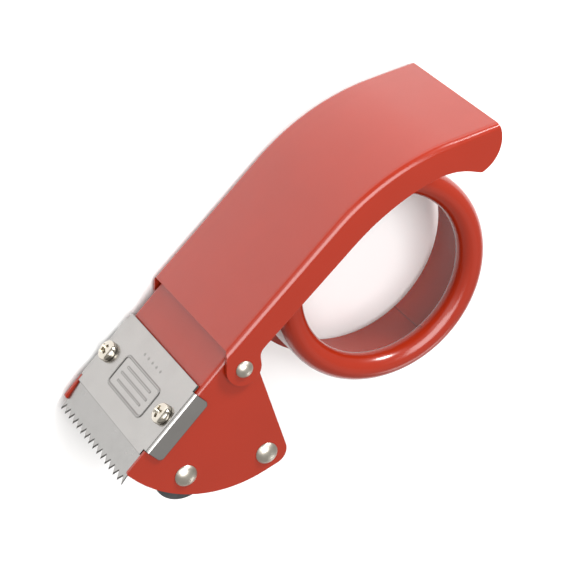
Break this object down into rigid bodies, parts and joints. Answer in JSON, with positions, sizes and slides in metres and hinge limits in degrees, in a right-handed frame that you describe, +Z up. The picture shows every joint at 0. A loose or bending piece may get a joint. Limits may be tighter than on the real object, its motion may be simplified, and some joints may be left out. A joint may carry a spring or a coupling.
{
  "type": "tape gun dispenser",
  "caption": "Red pressed-steel packing-tape gun: hinged channel handle, roller head with toothed blade under a steel cover, and an open drum for the tape's core.",
  "frame": {"origin": "centre of the bounding box's floor: the tool lies on its far side and its box stands on Z = 0", "axes": "+X from the cutting blade to the tail of the handle, +Y from the tape drum to the top of the handle, +Z up across the tool's width, from the far side plate to the near one"},
  "size_m": [0.1582, 0.0912, 0.0588],
  "materials": {
    "enamel": "gloss red baked enamel with light orange peel",
    "stainless": "satin stamped stainless steel",
    "blade_steel": "bright spring steel",
    "nickel": "nickel plate",
    "zinc": "zinc plate",
    "rubber": "matte black rubber",
    "plastic": "grey moulded nylon"
  },
  "bodies": {
    "head": {"head_frame": "enamel", "drum_arm": "enamel", "tape_drum": "enamel", "blade": "blade_steel", "blade_cover": "stainless", "cover_screw_near": "nickel", "cover_screw_far": "nickel", "cover_nut_near": "zinc", "cover_nut_far": "zinc", "front_axle": "nickel", "front_roller_washer_near": "zinc", "front_roller_washer_far": "zinc", "rear_axle": "nickel", "rear_roller_washer_near": "zinc", "rear_roller_washer_far": "zinc", "pivot_rivet_near": "nickel", "pivot_rivet_far": "nickel", "pivot_washer_near": "zinc", "pivot_washer_far": "zinc", "arm_rivet_upper": "nickel", "arm_rivet_lower": "nickel"},
    "handle": {"handle_channel": "enamel"},
    "front_roller": {"front_roller_tyre": "rubber", "front_roller_core": "plastic"},
    "rear_roller": {"rear_roller": "plastic"}
  },
  "joints": [
    {"name": "handle_pivot", "type": "hinge", "parent": "head", "child": "handle", "pos_m": [-0.0278, 0.03494, 0.0294], "axis": [0, 0, 1], "range_deg": [0, 30]},
    {"name": "front_roller_spin", "type": "hinge", "parent": "head", "child": "front_roller", "pos_m": [-0.0655, 0.02454, 0.0294], "axis": [0, 0, 1], "continuous": true},
    {"name": "rear_roller_spin", "type": "hinge", "parent": "head", "child": "rear_roller", "pos_m": [-0.0456, 0.00524, 0.0294], "axis": [0, 0, 1], "continuous": true}
  ]
}
